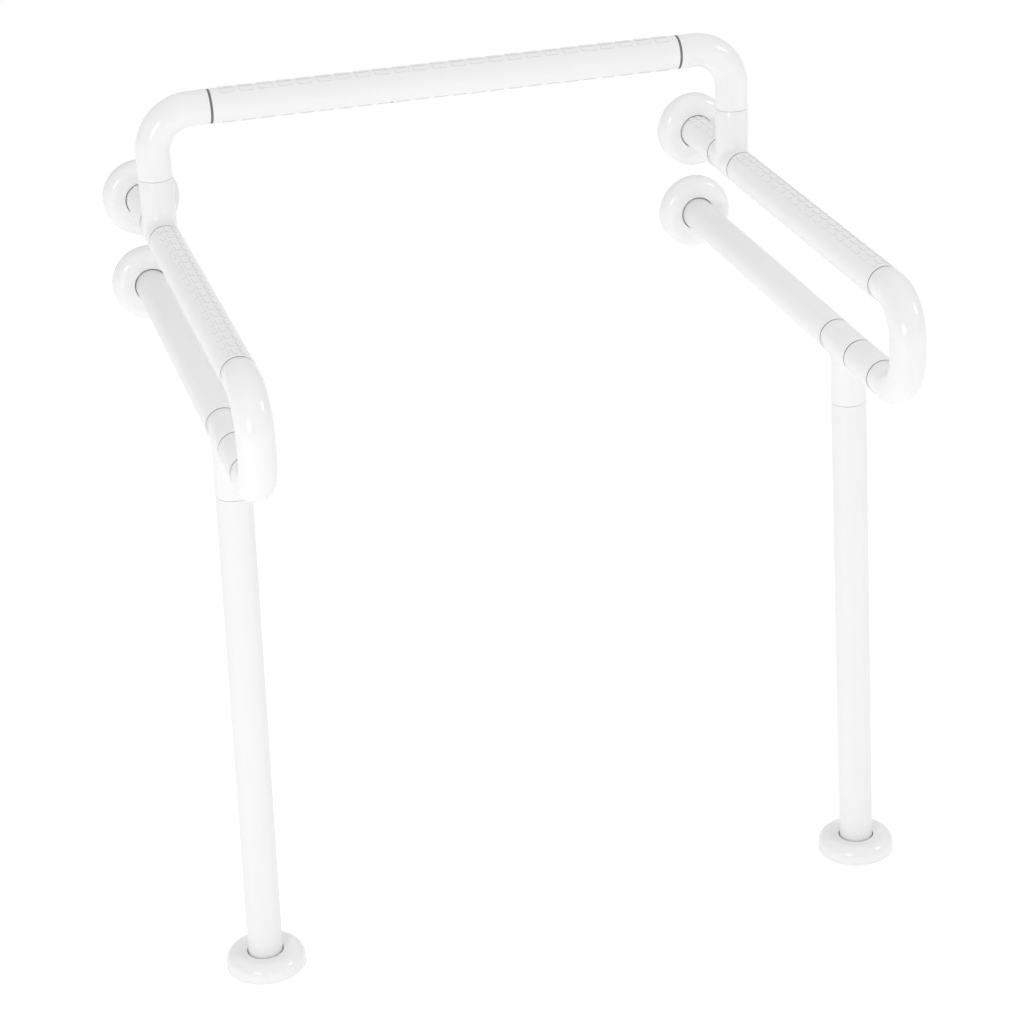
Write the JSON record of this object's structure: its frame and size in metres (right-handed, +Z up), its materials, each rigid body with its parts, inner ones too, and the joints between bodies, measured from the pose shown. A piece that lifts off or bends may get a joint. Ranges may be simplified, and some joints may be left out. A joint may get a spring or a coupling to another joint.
{
  "type": "toilet safety frame",
  "caption": "White nylon-covered steel grab frame that stands round a toilet: looped side arms, a crossbar behind, legs and round wall and floor flanges.",
  "frame": {"origin": "centre of the footprint, on the floor: midway between the two arms and midway between the wall and the front of the arms", "axes": "+Z up; +Y towards the wall that the frame is fixed to, so the user sits facing -Y; +X to the right of a person who stands in front of the frame and faces the wall"},
  "size_m": [0.7274, 0.625, 0.8175],
  "materials": {
    "sleeve_nylon": "satin white nylon tube with raised grip ribs on the crossbar, stubs and handrails",
    "moulded_nylon": "semi-gloss white moulded nylon",
    "core_steel": "drawn stainless steel tube",
    "plate_steel": "stamped stainless steel with a welded spigot",
    "seal_rubber": "dark elastomer ring",
    "screw_steel": "plain steel"
  },
  "bodies": {
    "frame": {"crossbar_sleeve": "sleeve_nylon", "stub_sleeve_left": "sleeve_nylon", "handrail_sleeve_left": "sleeve_nylon", "short_sleeve_left": "sleeve_nylon", "lower_rail_sleeve_left": "sleeve_nylon", "leg_sleeve_left": "sleeve_nylon", "stub_sleeve_right": "sleeve_nylon", "handrail_sleeve_right": "sleeve_nylon", "short_sleeve_right": "sleeve_nylon", "lower_rail_sleeve_right": "sleeve_nylon", "leg_sleeve_right": "sleeve_nylon", "corner_bend_left": "moulded_nylon", "upper_tee_left": "moulded_nylon", "arm_bend_left": "moulded_nylon", "lower_tee_left": "moulded_nylon", "corner_bend_right": "moulded_nylon", "upper_tee_right": "moulded_nylon", "arm_bend_right": "moulded_nylon", "lower_tee_right": "moulded_nylon", "crossbar_core": "core_steel", "corner_bend_core_left": "core_steel", "upper_tee_insert_left": "core_steel", "stub_core_left": "core_steel", "handrail_core_left": "core_steel", "arm_bend_core_left": "core_steel", "short_core_left": "core_steel", "lower_tee_insert_left": "core_steel", "lower_rail_core_left": "core_steel", "leg_core_left": "core_steel", "corner_bend_core_right": "core_steel", "upper_tee_insert_right": "core_steel", "stub_core_right": "core_steel", "handrail_core_right": "core_steel", "arm_bend_core_right": "core_steel", "short_core_right": "core_steel", "lower_tee_insert_right": "core_steel", "lower_rail_core_right": "core_steel", "leg_core_right": "core_steel", "wall_plate_upper_left": "plate_steel", "wall_plate_lower_left": "plate_steel", "floor_plate_left": "plate_steel", "wall_plate_upper_right": "plate_steel", "wall_plate_lower_right": "plate_steel", "floor_plate_right": "plate_steel", "seal_rings_left": "seal_rubber", "seal_rings_right": "seal_rubber", "crossbar_lock_screw": "screw_steel", "grub_screws_left": "screw_steel", "grub_screws_right": "screw_steel"},
    "wall_cover_upper_left": {"wall_cover_upper_left": "moulded_nylon"},
    "wall_cover_lower_left": {"wall_cover_lower_left": "moulded_nylon"},
    "floor_cover_left": {"floor_cover_left": "moulded_nylon"},
    "wall_cover_upper_right": {"wall_cover_upper_right": "moulded_nylon"},
    "wall_cover_lower_right": {"wall_cover_lower_right": "moulded_nylon"},
    "floor_cover_right": {"floor_cover_right": "moulded_nylon"}
  },
  "joints": [
    {"name": "wall_cover_upper_left_slide", "type": "slide", "parent": "frame", "child": "wall_cover_upper_left", "axis": [0, -1, 0], "range_m": [0, 0.09]},
    {"name": "wall_cover_lower_left_slide", "type": "slide", "parent": "frame", "child": "wall_cover_lower_left", "axis": [0, -1, 0], "range_m": [0, 0.42]},
    {"name": "floor_cover_left_slide", "type": "slide", "parent": "frame", "child": "floor_cover_left", "axis": [0.0262, 0, 0.9997], "range_m": [0, 0.52]},
    {"name": "wall_cover_upper_right_slide", "type": "slide", "parent": "frame", "child": "wall_cover_upper_right", "axis": [0, -1, 0], "range_m": [0, 0.09]},
    {"name": "wall_cover_lower_right_slide", "type": "slide", "parent": "frame", "child": "wall_cover_lower_right", "axis": [0, -1, 0], "range_m": [0, 0.42]},
    {"name": "floor_cover_right_slide", "type": "slide", "parent": "frame", "child": "floor_cover_right", "axis": [-0.0262, 0, 0.9997], "range_m": [0, 0.52]}
  ]
}
